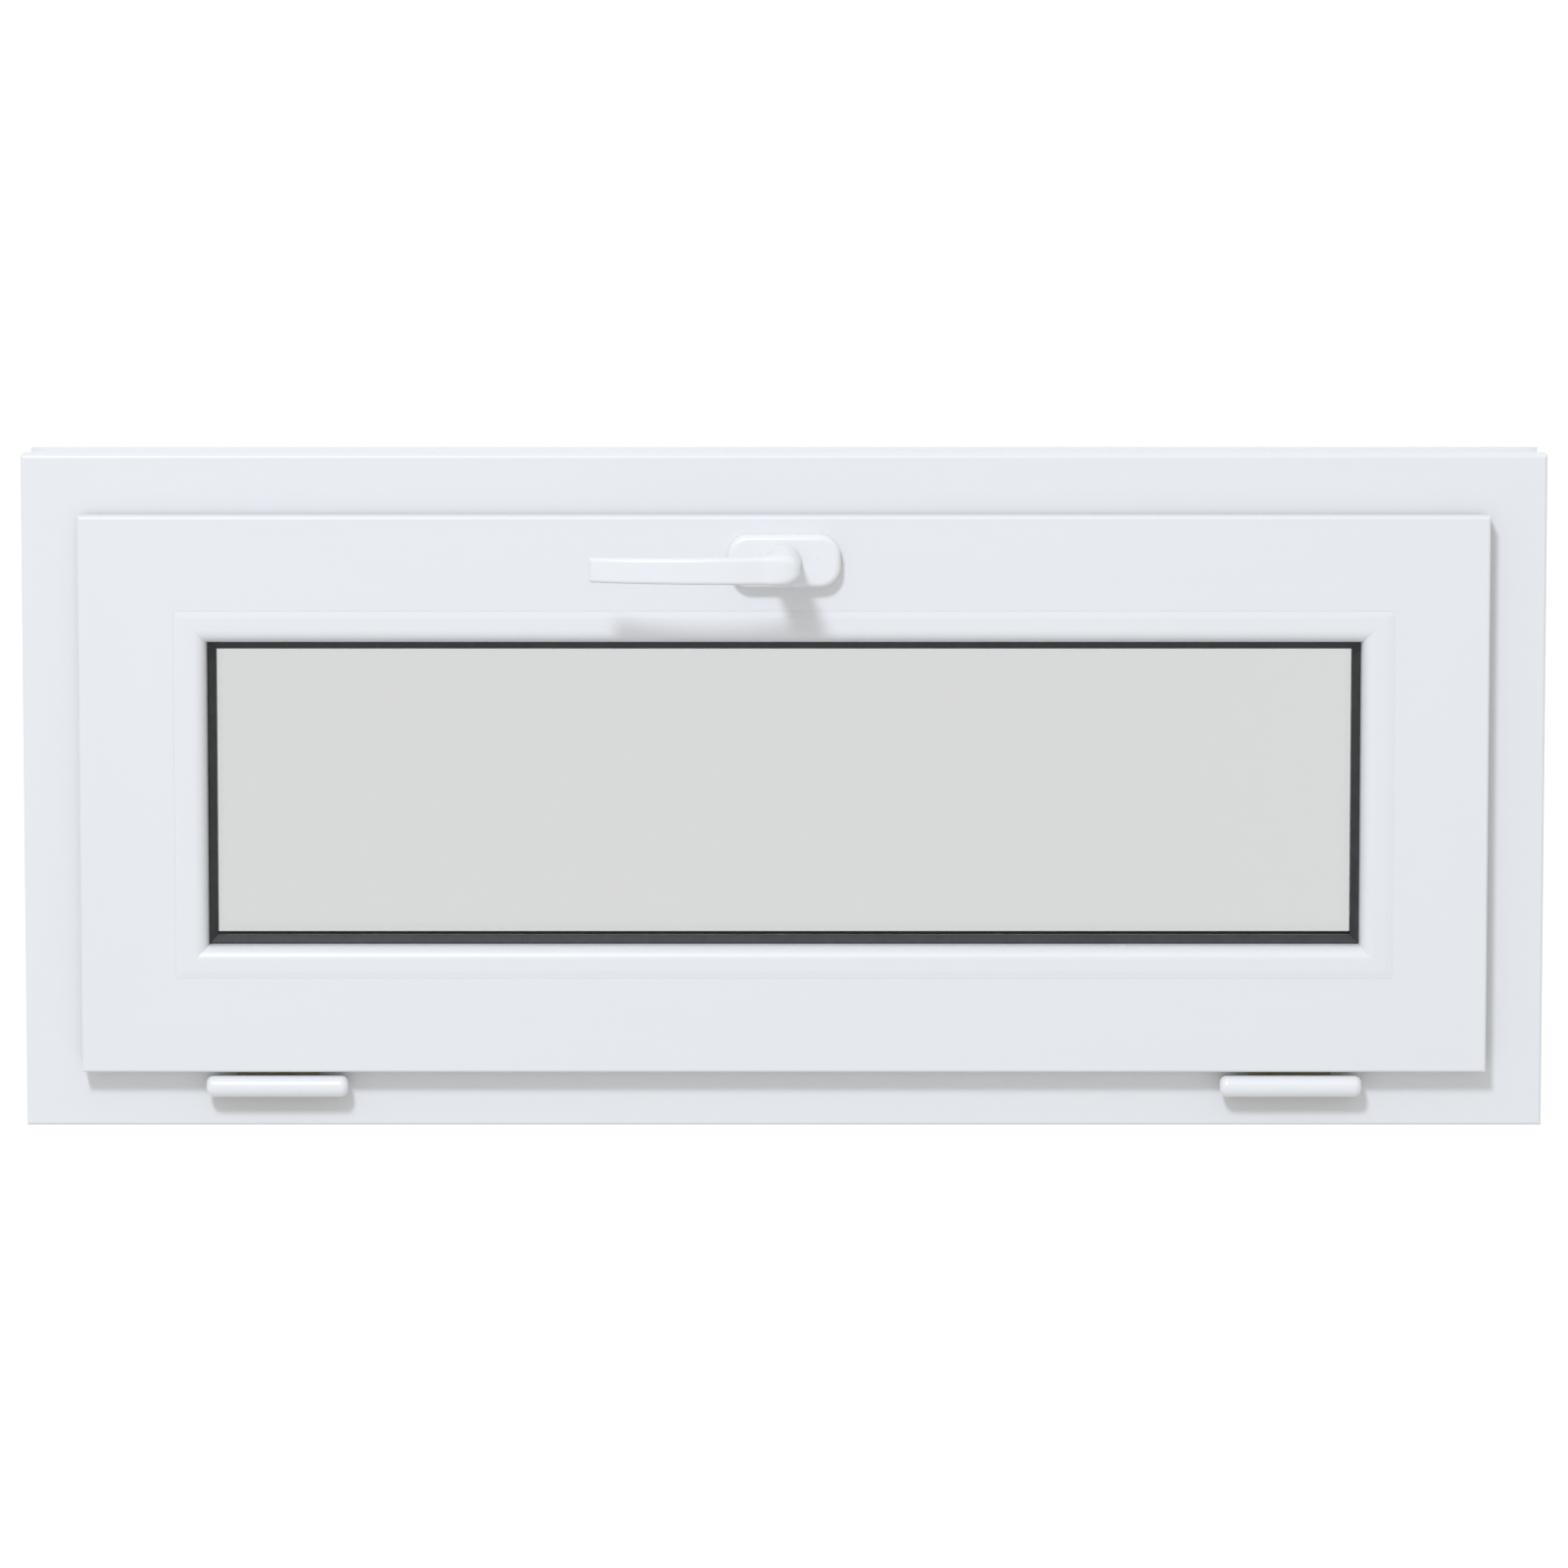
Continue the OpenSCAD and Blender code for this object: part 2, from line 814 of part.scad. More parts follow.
module setting_blocks() {
    block_l = 60;
    pane_w = sash_w - 2 * glass_edge;
    pane_h = sash_h - 2 * glass_edge;
    color(black)
    for (x = [-1, 1], z = [-1, 1]) {
        translate([x * (pane_w / 2 - 90), (glass_front + glass_back) / 2,
                   frame_h / 2 + z * (pane_h + glass_edge - glaze_edge) / 2])
        cube([block_l, glazing_t - 2, glass_edge - glaze_edge], center = true);
        translate([x * (pane_w + glass_edge - glaze_edge) / 2, (glass_front + glass_back) / 2,
                   frame_h / 2 + z * (pane_h / 2 - 45)])
        cube([glass_edge - glaze_edge, glazing_t - 2, block_l], center = true);
    }
}

// ---- lock ----

module box_journals(extra) {
    bar_y([0, box_y[0] - 1, handle_z], hub_r + extra, box_y[1] - box_y[0] + cover_t + 2);
}

module gearbox_housing() {
    color(steel)
    difference() {
        translate([-box_x, box_y[0], box_floor])
        cube([2 * box_x, box_y[1] - box_y[0], edge_z - box_floor]);
        translate([-box_x + box_wall, box_y[0] + box_wall, box_floor + box_wall])
        cube([2 * (box_x - box_wall), frame_d, frame_h]);
        translate([-frame_w / 2, box_y[0] + box_wall, rod_z - slack]) cube([frame_w, frame_d, frame_h]);
        box_journals(run);
    }
}

module gearbox_cover() {
    color(steel)
    difference() {
        translate([-box_x, box_y[1], box_floor]) cube([2 * box_x, cover_t, edge_z - box_floor]);
        box_journals(run);
    }
}

module faceplate_screw_set(extra) {
    for (side = [LEFT, RIGHT], x = [290, 316])
        bar_z([side * x, groove_y, edge_z - groove_deep - 8], 2 + extra, groove_deep + 8 + plate_t);
}

module lock_faceplate() {
    slot_r = 2 + 0.5;
    color(steel)
    difference() {
        union() {
            translate([-plate_x + plate_w / 2, groove_y - plate_w / 2, edge_z])
            cube([2 * plate_x - plate_w, plate_w, plate_t]);
            for (side = [LEFT, RIGHT])
                bar_z([side * (plate_x - plate_w / 2), groove_y, edge_z], plate_w / 2, plate_t);
        }
        for (side = [LEFT, RIGHT]) {
            bar_z([side * lock_x, groove_y, edge_z - 1], slot_r, plate_t + 2);
            bar_z([side * lock_x + travel, groove_y, edge_z - 1], slot_r, plate_t + 2);
            translate([side * lock_x, groove_y - slot_r, edge_z - 1]) cube([travel, 2 * slot_r, plate_t + 2]);
        }
        faceplate_screw_set(drill);
    }
}

module faceplate_screws() {
    color(zinc) faceplate_screw_set(0);
}

function rack_tooth(x) = [
    [x - 1.40, -dip], [x - 0.86, 0], [x - 0.46, tip], [x + 0.46, tip], [x + 0.86, 0], [x + 1.40, -dip]
];

// the rack under the pinion, its two uprights, and the rods that run to the rollers
module drive_rod() {
    rack_z = handle_z - pitch_r;
    rod_end = lock_x + 12;
    rack_x = upright_left - upright;
    first = -5;
    last = 1;
    color(steel)
    union() {
        translate([0, groove_y + rod_w / 2, 0])
        rotate([90, 0, 0])
        linear_extrude(rod_w)
        union() {
            rect(rack_x, box_floor + box_wall + slack, upright_right + upright, rack_z - dip);
            rect(rack_x, box_floor + box_wall + slack, rack_x + upright, rod_z + rod_t);
            rect(upright_right, box_floor + box_wall + slack, upright_right + upright, rod_z + rod_t);
            rect(-rod_end, rod_z, rack_x + upright, rod_z + rod_t);
            rect(upright_right, rod_z, rod_end, rod_z + rod_t);
            for (i = [first : last])
                translate([0, rack_z - 0.01]) polygon(rack_tooth((i + 0.5) * tooth_pitch));
        }
        for (side = [LEFT, RIGHT])
            bar_z([side * lock_x, groove_y, rod_z], 2, roller_top + 0.2 - rod_z);
    }
}

module locking_rollers() {
    color(steel)
    for (side = [LEFT, RIGHT])
        difference() {
            bar_z([side * lock_x, groove_y, edge_z + plate_t + slack], roller_r,
                  roller_top - edge_z - plate_t - slack);
            bar_z([side * lock_x, groove_y, edge_z], 2 + drill, 2 * roller_r + frame_bar);
        }
}

// ---- handle ----

module handle_screw_set(extra) {
    for (x = [-screw_x, screw_x])
        bar_y([x, sash_face - base_t, handle_z], 2.5 + extra, 16 + base_t);
}

// a plate that stands clear of the inside of the rosette
module handle_base_plate() {
    inset = rosette_skin + plate_gap;
    color(steel)
    difference() {
        rosette_slab(inset, sash_face - base_t, sash_face);
        bar_y([0, sash_face - 5, handle_z], shank_r + run, 8);
        handle_screw_set(drill);
    }
}

// a rounded slab over the base plate, hollow behind
module handle_rosette() {
    color(white)
    difference() {
        rosette_slab(0, sash_face - rosette_t, sash_face);
        rosette_slab(rosette_skin, sash_face - rosette_t + rosette_skin, sash_face + 1);
        bar_y([0, sash_face - rosette_t - 1, handle_z], shank_r + slack, rosette_t + 2);
    }
}

// the rosette's outline moved inwards by inset
module rosette_slab(inset, y0, y1) {
    length = rosette_l - 2 * inset;
    height = rosette_h - 2 * inset;
    round = rosette_round - inset;
    translate([0, y1, handle_z])
    rotate([90, 0, 0])
    linear_extrude(y1 - y0)
    union() {
        square([length - 2 * round, height], center = true);
        square([length, height - 2 * round], center = true);
        for (x = [-1, 1], z = [-1, 1])
            translate([x * (length / 2 - round), z * (height / 2 - round)]) circle(r = round);
    }
}

module handle_screws() {
    color(zinc) handle_screw_set(0);
}

// a bowed grip on a round neck, with the shank that turns in the base plate
module handle_lever() {
    front = sash_face - bow_out;
    neck_y = sash_face - rosette_t - slack;
    color(white)
    difference() {
        union() {
            translate([0, 0, handle_z - lever_h / 2])
            linear_extrude(lever_h)
            intersection() {
                difference() {
                    translate([bow_x, front + bow_r]) circle(r = bow_r, $fn = 96);
                    translate([bow_x, front + bow_r]) circle(r = bow_r - lever_t, $fn = 96);
                }
                rect(-lever_len, front - 1, neck_r - 2, sash_face - rosette_t - 20);
            }
            bar_y([0, front + 9, handle_z], neck_r, neck_y - front - 9);
            bar_y([0, neck_y - 1, handle_z], shank_r, sash_face - slack - neck_y + 1);
        }
        translate([-spindle / 2, sash_face - rosette_t - 32, handle_z - spindle / 2])
        cube([spindle, 60, spindle]);
    }
}

module handle_spindle() {
    spindle_y = sash_face - rosette_t - 32;
    color(steel)
    translate([-spindle / 2 + drill, spindle_y, handle_z - spindle / 2 + drill])
    cube([spindle - 2 * drill, box_y[1] + cover_t - spindle_y, spindle - 2 * drill]);
}

// a sector gear whose middle tooth points half a quarter turn to the left of straight down
module handle_pinion() {
    tooth = [[pitch_r - dip - 0.3, 1.25], [9.4, 1.0], [pitch_r, 0.84], [10.6, 0.6], [pitch_r + tip, 0.36]];
    outline = concat(tooth, [for (i = [len(tooth) - 1 : -1 : 0]) [tooth[i][0], -tooth[i][1]]]);
    sector = 75;
    rays = [for (a = [-sector : sector / 3 : sector]) 2 * pitch_r * [cos(a), sin(a)]];
    color(steel)
    difference() {
        union() {
            translate([0, groove_y + rod_w / 2, handle_z])
            rotate([90, 0, 0])
            linear_extrude(rod_w)
            rotate(-135)
            union() {
                intersection() {
                    circle(r = pitch_r - dip);
                    polygon(concat([[0, 0]], rays));
                }
                for (i = [-sector_teeth : sector_teeth])
                    rotate(i * 360 / teeth) polygon(outline);
            }
            bar_y([0, box_y[0], handle_z], hub_r, box_y[1] - box_y[0] + cover_t);
        }
        translate([-spindle / 2, 0, handle_z - spindle / 2]) cube([spindle, frame_d, spindle]);
    }
}

frame_sill();
frame_head();
frame_jamb_left();
frame_jamb_right();
frame_steels();
frame_gasket();
drain_caps();
keeper_left();
keeper_right();
keeper_screws();
hinge_frame_leaf_left();
hinge_frame_leaf_right();
hinge_frame_screws();
hinge_pin_left();
hinge_pin_right();
stay_bracket_left();
stay_bracket_right();
stay_bracket_screws();
sash_bottom_rail();
sash_top_rail();
sash_stile_left();
sash_stile_right();
sash_steels();
sash_gasket();
bead_bottom();
bead_top();
bead_left();
bead_right();
glass_gasket_inner();
glass_gasket_outer();
pane_inner();
pane_outer();
glass_spacer();
glass_edge_seal();
setting_blocks();
hinge_sash_leaf_left();
hinge_sash_leaf_right();
hinge_sash_screws();
hinge_cap_left();
hinge_cap_right();
stay_guide_left();
stay_guide_right();
stay_guide_screws();
gearbox_housing();
gearbox_cover();
lock_faceplate();
faceplate_screws();
handle_base_plate();
handle_rosette();
handle_screws();
handle_lever();
handle_spindle();
handle_pinion();
drive_rod();
locking_rollers();
stay_arm_left();
stay_arm_right();
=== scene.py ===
"""Looks for the bottom-hung window: white plastic bars, black seals, double glazing, lever handle and hinges.
Shapes are drawn in millimetres in the part's own frame and stand exactly where their CAD nodes do."""

import cmath
import math

import bmesh
import bpy
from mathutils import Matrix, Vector
from mathutils.geometry import tessellate_polygon


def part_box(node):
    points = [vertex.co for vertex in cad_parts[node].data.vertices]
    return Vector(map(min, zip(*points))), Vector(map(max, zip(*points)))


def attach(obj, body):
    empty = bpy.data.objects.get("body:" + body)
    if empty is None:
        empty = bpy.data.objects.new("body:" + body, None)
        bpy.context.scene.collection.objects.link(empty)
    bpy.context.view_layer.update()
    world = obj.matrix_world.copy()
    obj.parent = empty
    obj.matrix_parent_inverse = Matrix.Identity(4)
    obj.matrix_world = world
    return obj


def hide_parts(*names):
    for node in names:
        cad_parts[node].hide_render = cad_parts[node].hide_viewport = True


MM = 0.001
ARC_STEP = math.radians(13)  # turn of one facet of a rounded edge
SMOOTH_ANGLE = math.radians(32)  # sharper edges than this stay crisp

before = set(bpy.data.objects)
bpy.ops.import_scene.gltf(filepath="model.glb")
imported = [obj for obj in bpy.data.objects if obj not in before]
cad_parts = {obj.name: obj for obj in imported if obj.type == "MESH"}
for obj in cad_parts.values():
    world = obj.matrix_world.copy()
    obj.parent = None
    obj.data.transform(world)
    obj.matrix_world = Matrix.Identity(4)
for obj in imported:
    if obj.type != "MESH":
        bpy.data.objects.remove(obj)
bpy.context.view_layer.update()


def box_mm(node):
    """Lowest and highest corner of a CAD node, in millimetres."""
    low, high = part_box(node)
    return low / MM, high / MM


# ---------------------------------------------------------------- camera, light and floor

CAMERA_AT = (0, -3.876, 0.719)
CAMERA_PITCH = math.radians(5.25)
CAMERA_LENS = 151.6
CAMERA_SHIFT = -0.17
KEY_TRAVEL = Vector((0.27, 1.0, -0.81)).normalized()
KEY_AIM = Vector((0, 0, 0.2))
KEY_DISTANCE = 6.0
KEY_RADIUS = 0.5
KEY_STRENGTH = 1.42
KEY_COLOUR = (0.92, 0.985, 1.10)
FRONT_FILL = (0.58, 0.58, 0.58)
BEHIND_FILL = (1.05, 1.05, 1.05)
SKY_FILL = (0.74, 0.75, 0.76)
GROUND_FILL = (0.74, 0.74, 0.74)
FLOOR_Z = -2.0
FLOOR_RADIUS = 6.0


def make_camera():
    data = bpy.data.cameras.new("camera")
    data.sensor_width = 36
    data.lens = CAMERA_LENS
    data.shift_y = CAMERA_SHIFT
    data.clip_end = 200
    data.dof.use_dof = False
    camera = bpy.data.objects.new("camera", data)
    camera.location = CAMERA_AT
    camera.rotation_euler = (math.pi / 2 - CAMERA_PITCH, 0, 0)
    bpy.context.scene.collection.objects.link(camera)
    bpy.context.scene.camera = camera


def make_key_light():
    """A round lamp above and to the left of the viewer."""
    data = bpy.data.lights.new("key", "POINT")
    data.energy = KEY_STRENGTH * 4 * math.pi * KEY_DISTANCE**2
    data.color = KEY_COLOUR
    data.shadow_soft_size = KEY_RADIUS
    key = bpy.data.objects.new("key", data)
    key.location = KEY_AIM - KEY_TRAVEL * KEY_DISTANCE
    bpy.context.scene.collection.objects.link(key)


def make_surroundings():
    """A pale room: bright above and behind the window, dimmer on the viewer's side and below."""
    world = bpy.data.worlds.new("room")
    world.use_nodes = True
    bpy.context.scene.world = world
    nodes, links = world.node_tree.nodes, world.node_tree.links
    direction = nodes.new("ShaderNodeTexCoord").outputs["Generated"]
    parts = nodes.new("ShaderNodeSeparateXYZ")
    links.new(direction, parts.inputs[0])

    def blend(low, high, axis, start, end):
        ramp = nodes.new("ShaderNodeMapRange")
        ramp.interpolation_type = "SMOOTHSTEP"
        ramp.inputs["From Min"].default_value = start
        ramp.inputs["From Max"].default_value = end
        links.new(parts.outputs[axis], ramp.inputs["Value"])
        mix = nodes.new("ShaderNodeMix")
        mix.data_type = "RGBA"
        links.new(ramp.outputs[0], mix.inputs["Factor"])
        for socket, value in (("A", low), ("B", high)):
            target = [s for s in mix.inputs if s.name == socket and s.type == "RGBA"][0]
            if isinstance(value, tuple):
                target.default_value = (*value, 1)
            else:
                links.new(value, target)
        return [s for s in mix.outputs if s.type == "RGBA"][0]

    level = blend(FRONT_FILL, BEHIND_FILL, "Y", -0.1, 0.35)
    above = blend(level, SKY_FILL, "Z", 0.25, 0.8)
    whole = blend(GROUND_FILL, above, "Z", -0.6, -0.25)
    background = nodes["Background"]
    links.new(whole, background.inputs["Color"])


# ---------------------------------------------------------------- materials


class Surface:
    """A Principled material with helpers for patterns that vary over the surface."""

    def __init__(self, name, **values):
        self.material = bpy.data.materials.new(name)
        self.material.use_nodes = True
        self.nodes = self.material.node_tree.nodes
        self.links = self.material.node_tree.links
        self.shader = self.nodes["Principled BSDF"]
        self.place = self.nodes.new("ShaderNodeTexCoord").outputs["Object"]
        for socket, value in values.items():
            self.shader.inputs[socket.replace("_", " ")].default_value = value

    def stretched(self, scale):
        mapping = self.nodes.new("ShaderNodeMapping")
        mapping.inputs["Scale"].default_value = scale
        self.links.new(self.place, mapping.inputs["Vector"])
        return mapping.outputs["Vector"]

    def noise(self, scale, detail=3.0, rough=0.55):
        texture = self.nodes.new("ShaderNodeTexNoise")
        texture.inputs["Scale"].default_value = 1.0
        texture.inputs["Detail"].default_value = detail
        texture.inputs["Roughness"].default_value = rough
        self.links.new(self.stretched(scale), texture.inputs["Vector"])
        return texture.outputs["Fac"]

    def cells(self, scale):
        texture = self.nodes.new("ShaderNodeTexVoronoi")
        texture.inputs["Scale"].default_value = 1.0
        self.links.new(self.stretched(scale), texture.inputs["Vector"])
        return texture.outputs["Color"]

    def colour(self, pattern, *stops):
        """Base colour from a ramp of (position, colour) stops."""
        ramp = self.nodes.new("ShaderNodeValToRGB")
        elements = ramp.color_ramp.elements
        while len(elements) < len(stops):
            elements.new(0.5)
        for element, (position, value) in zip(elements, stops):
            element.position = position
            element.color = (*value, 1)
        self.links.new(pattern, ramp.inputs["Fac"])
        self.links.new(ramp.outputs["Color"], self.shader.inputs["Base Color"])
        return self

    def roughness(self, pattern, low, high):
        spread = self.nodes.new("ShaderNodeMapRange")
        spread.inputs["To Min"].default_value = low
        spread.inputs["To Max"].default_value = high
        self.links.new(pattern, spread.inputs["Value"])
        self.links.new(spread.outputs[0], self.shader.inputs["Roughness"])
        return self

    def bump(self, pattern, height_mm, strength=1.0):
        bump = self.nodes.new("ShaderNodeBump")
        bump.inputs["Strength"].default_value = strength
        bump.inputs["Distance"].default_value = height_mm * MM
        self.links.new(pattern, bump.inputs["Height"])
        self.links.new(bump.outputs["Normal"], self.shader.inputs["Normal"])
        return self


def along(axis, fine, coarse):
    """A noise scale that is coarse along one axis and fine across it."""
    return tuple(coarse if axis == i else fine for i in range(3))


def extruded_plastic(name, axis):
    """White window plastic with faint die lines along its bar."""
    surface = Surface(name, IOR=1.53)
    surface.colour(
        surface.noise(along(axis, 40, 3), 3),
        (0.3, (0.812, 0.813, 0.815)),
        (0.7, (0.820, 0.821, 0.823)),
    )
    surface.roughness(surface.noise((35, 35, 35), 5), 0.30, 0.42)
    surface.bump(surface.noise(along(axis, 900, 8), 2), 0.012, 0.5)
    return surface.material


def powder_coat():
    """White coat with a fine orange peel, on the handle and hinge caps."""
    surface = Surface("powder_coat", IOR=1.52, Coat_Weight=0.15, Coat_Roughness=0.12)
    surface.colour(
        surface.noise((45, 45, 45), 4), (0.3, (0.838, 0.839, 0.841)), (0.7, (0.850, 0.851, 0.853))
    )
    surface.roughness(surface.noise((160, 160, 160), 3), 0.24, 0.36)
    surface.bump(surface.noise((700, 700, 700), 2), 0.02, 0.35)
    return surface.material


def rubber(name, dark, pale):
    """Matt seal rubber with a dusty bloom."""
    surface = Surface(name, IOR=1.5)
    surface.colour(surface.noise((120, 120, 120), 5), (0.35, dark), (0.75, pale))
    surface.roughness(surface.noise((300, 300, 300), 3), 0.38, 0.48)
    surface.bump(surface.noise((1500, 1500, 1500), 2), 0.02, 0.6)
    return surface.material


def clear_glass():
    """Float glass with a faint grey tint that drifts across the pane."""
    surface = Surface("clear_glass", Transmission_Weight=1.0, IOR=1.46, Roughness=0.0)
    surface.colour(
        surface.noise((2.5, 2.5, 0.6), 1), (0.3, (0.827, 0.831, 0.830)), (0.7, (0.835, 0.840, 0.839))
    )
    return surface.material


def brushed_metal(name, dark, pale, axis, rough):
    surface = Surface(name, Metallic=1.0)
    lines = surface.noise(along(axis, 700, 12), 3)
    surface.colour(lines, (0.3, dark), (0.7, pale))
    surface.roughness(surface.noise(along(axis, 300, 20), 4), rough - 0.07, rough + 0.08)
    surface.bump(lines, 0.01, 0.4)
    return surface.material


def passivated_zinc():
    """Olive-yellow zinc plate with a cloudy tint."""
    surface = Surface("passivated_zinc", Metallic=1.0)
    surface.colour(
        surface.noise((70, 70, 70), 3),
        (0.25, (0.34, 0.32, 0.20)),
        (0.5, (0.46, 0.42, 0.27)),
        (0.75, (0.40, 0.41, 0.36)),
    )
    surface.roughness(surface.noise((220, 220, 220), 4), 0.32, 0.5)
    surface.bump(surface.noise((900, 900, 900), 2), 0.01, 0.4)
    return surface.material


def galvanised_steel():
    """Rolled steel with the flat crystals of hot-dip zinc."""
    surface = Surface("galvanised_steel", Metallic=1.0)
    crystals = surface.cells((150, 150, 150))
    surface.colour(crystals, (0.2, (0.46, 0.47, 0.49)), (0.8, (0.62, 0.63, 0.65)))
    surface.roughness(surface.noise((90, 90, 90), 4), 0.38, 0.55)
    surface.bump(surface.noise((400, 400, 400), 3), 0.01, 0.4)
    return surface.material


def moulded_block():
    surface = Surface("moulded_block", IOR=1.5)
    surface.colour(
        surface.noise((90, 90, 90), 4), (0.3, (0.035, 0.036, 0.040)), (0.7, (0.050, 0.051, 0.056))
    )
    surface.roughness(surface.noise((200, 200, 200), 3), 0.45, 0.6)
    surface.bump(surface.noise((800, 800, 800), 2), 0.02, 0.5)
    return surface.material


def floor_paint():
    surface = Surface("floor_paint", IOR=1.4, Specular_IOR_Level=0.2)
    surface.colour(
        surface.noise((1.2, 1.2, 1.2), 4), (0.3, (0.73, 0.73, 0.73)), (0.7, (0.76, 0.76, 0.76))
    )
    surface.roughness(surface.noise((20, 20, 20), 3), 0.75, 0.9)
    return surface.material


PLASTIC_ACROSS = extruded_plastic("plastic_across", 0)
PLASTIC_UPRIGHT = extruded_plastic("plastic_upright", 2)
POWDER_COAT = powder_coat()
SEAL_RUBBER = rubber("seal_rubber", (0.024, 0.024, 0.025), (0.036, 0.036, 0.037))
EDGE_SEALANT = rubber("edge_sealant", (0.020, 0.020, 0.021), (0.034, 0.034, 0.036))
CLEAR_GLASS = clear_glass()
SPACER_METAL = brushed_metal("spacer_metal", (0.60, 0.61, 0.62), (0.74, 0.75, 0.76), 0, 0.34)
BRIGHT_STEEL_ACROSS = brushed_metal("bright_steel_across", (0.52, 0.53, 0.55), (0.68, 0.69, 0.70), 0, 0.30)
BRIGHT_STEEL_UPRIGHT = brushed_metal("bright_steel_upright", (0.52, 0.53, 0.55), (0.68, 0.69, 0.70), 2, 0.30)
ZINC = passivated_zinc()
GALVANISED = galvanised_steel()
BLOCK_PLASTIC = moulded_block()


# ---------------------------------------------------------------- mesh helpers


def rounded(corners):
    """A closed outline of complex points from (x, y, radius) corners, each rounded by its radius."""
    outline = []
    for i, (x, y, radius) in enumerate(corners):
        here = complex(x, y)
        if radius == 0:
            outline.append(here)
            continue
        before = complex(*corners[i - 1][:2]) - here
        after = complex(*corners[(i + 1) % len(corners)][:2]) - here
        before /= abs(before)
        after /= abs(after)
        half = abs(cmath.phase(after / before)) / 2
        centre = here + (before + after) / abs(before + after) * radius / math.sin(half)
        start = here + before * radius / math.tan(half) - centre
        end = here + after * radius / math.tan(half) - centre
        sweep = cmath.phase(end / start)
        steps = max(2, round(abs(sweep) / ARC_STEP))
        outline += [centre + start * cmath.exp(1j * sweep * k / steps) for k in range(steps + 1)]
    return outline


def rectangle(x0, y0, x1, y1):
    return [complex(x0, y0), complex(x1, y0), complex(x1, y1), complex(x0, y1)]


def new_piece(name, vertices, faces, material):
    """A mesh object from vertices in millimetres, with its faces turned outwards."""
    mesh = bpy.data.meshes.new(name)
    mesh.from_pydata([Vector(v) * MM for v in vertices], [], faces)
    work = bmesh.new()
    work.from_mesh(mesh)
    bmesh.ops.recalc_face_normals(work, faces=work.faces)
    work.to_mesh(mesh)
    work.free()
    mesh.materials.append(material)
    piece = bpy.data.objects.new(name, mesh)
    bpy.context.scene.collection.objects.link(piece)
    return piece


def soften(piece):
    """Smooth shading that keeps flat faces flat and sharp edges sharp."""
    piece.data.shade_smooth()
    piece.data.set_sharp_from_angle(angle=SMOOTH_ANGLE)
    keep_flat = piece.modifiers.new("keep_flat", "WEIGHTED_NORMAL")
    keep_flat.keep_sharp = True
    keep_flat.weight = 100


def cut(piece, cutters):
    """Takes the cutters' volumes out of a piece and removes the cutters."""
    for cutter in cutters:
        knife = piece.modifiers.new("cut", "BOOLEAN")
        knife.operation = "DIFFERENCE"
        knife.solver = "EXACT"
        knife.object = cutter
    evaluated = piece.evaluated_get(bpy.context.evaluated_depsgraph_get())
    mesh = bpy.data.meshes.new_from_object(evaluated)
    piece.modifiers.clear()
    piece.data = mesh
    for cutter in cutters:
        bpy.data.objects.remove(cutter)


def quads_between(first, second, count):
    """Faces that join two rings of count vertices that start at the given numbers."""
    return [
        (first + k, first + (k + 1) % count, second + (k + 1) % count, second + k)
        for k in range(count)
    ]


def block(low, high):
    x0, y0, z0 = low
    x1, y1, z1 = high
    vertices = [(x, y, z) for z in (z0, z1) for x, y in ((x0, y0), (x1, y0), (x1, y1), (x0, y1))]
    faces = [(0, 1, 2, 3), (4, 5, 6, 7), *quads_between(0, 4, 4)]
    return new_piece("cutter", vertices, faces, CLEAR_GLASS)


def rod(start, end, radius, segments=64):
    """A round cutter between two points that differ along one axis only."""
    start, end = Vector(start), Vector(end)
    axis = (end - start).normalized()
    side = axis.orthogonal().normalized()
    other = axis.cross(side)
    turns = [2 * math.pi * k / segments for k in range(segments)]
    vertices = [
        at + radius * (math.cos(t) * side + math.sin(t) * other) for at in (start, end) for t in turns
    ]
    faces = [
        tuple(range(segments)),
        tuple(range(segments, 2 * segments)),
        *quads_between(0, segments, segments),
    ]
    return new_piece("cutter", vertices, faces, CLEAR_GLASS)


def loft(name, rings, material):
    """A closed skin through rings of equal length, capped at both ends."""
    count = len(rings[0])
    faces = [tuple(range(count)), tuple(range((len(rings) - 1) * count, len(rings) * count))]
    for k in range(len(rings) - 1):
        faces += quads_between(k * count, (k + 1) * count, count)
    return new_piece(name, [v for ring in rings for v in ring], faces, material)


def finish_piece(piece, body, node):
    """Softens a piece and puts it in the place of its CAD node."""
    soften(piece)
    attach(piece, body)
    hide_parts(node)


# ---------------------------------------------------------------- rings of bars around the window

OUTWARD = {"bottom": (0, -1), "top": (0, 1), "left": (-1, 0), "right": (1, 0)}


